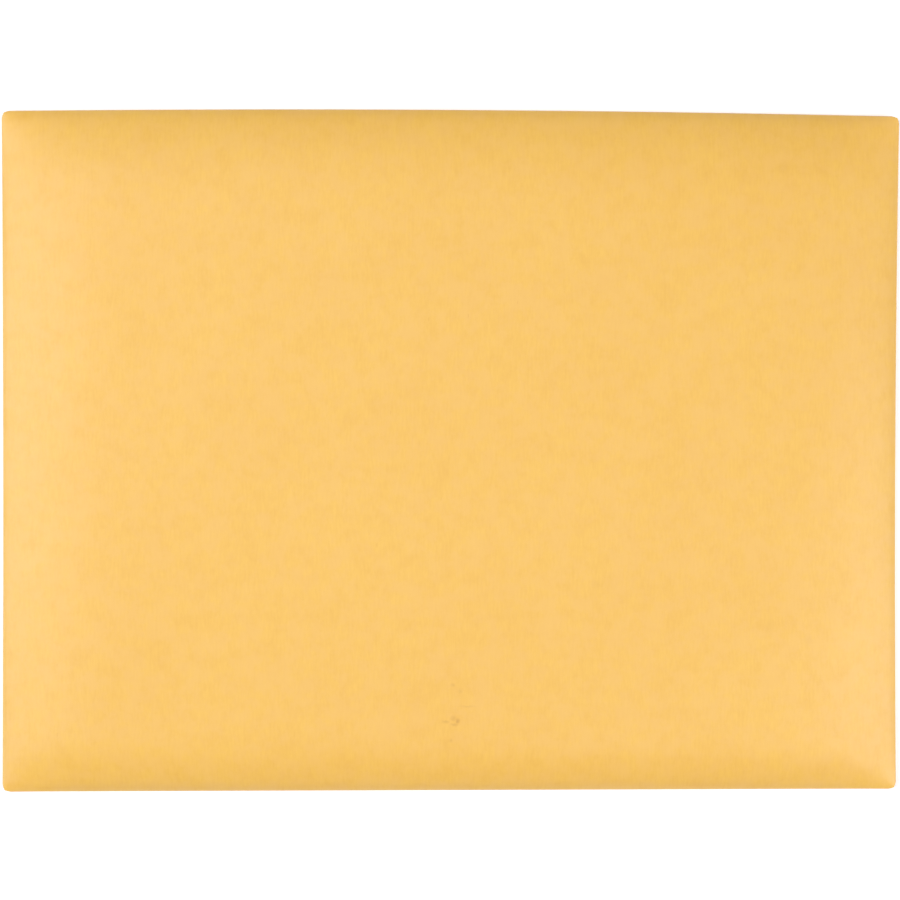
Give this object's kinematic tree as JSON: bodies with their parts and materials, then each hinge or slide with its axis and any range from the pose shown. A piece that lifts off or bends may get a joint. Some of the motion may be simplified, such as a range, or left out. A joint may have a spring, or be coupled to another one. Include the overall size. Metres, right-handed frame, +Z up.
{
  "type": "clasp envelope",
  "caption": "Large kraft paper clasp envelope, closed and empty, for posting or filing flat papers; a metal clasp holds its seal flap shut on the back.",
  "frame": {"origin": "on the surface that the envelope lies on, under the middle of its outline", "axes": "+X along the envelope's length, +Y from the seal flap's fold to the closed long fold, +Z up, out of the plain front"},
  "size_m": [0.3174, 0.2414, 0.009],
  "materials": {
    "kraft_paper": "matte",
    "clasp_metal": "satin",
    "eyelet_metal": "satin",
    "patch_paper": "matte"
  },
  "bodies": {
    "root": {"kraft_envelope": "kraft_paper", "metal_clasp": "clasp_metal", "clasp_eyelet": "eyelet_metal", "flap_hole_patch": "patch_paper", "clasp_backing_patch": "patch_paper"}
  },
  "joints": []
}
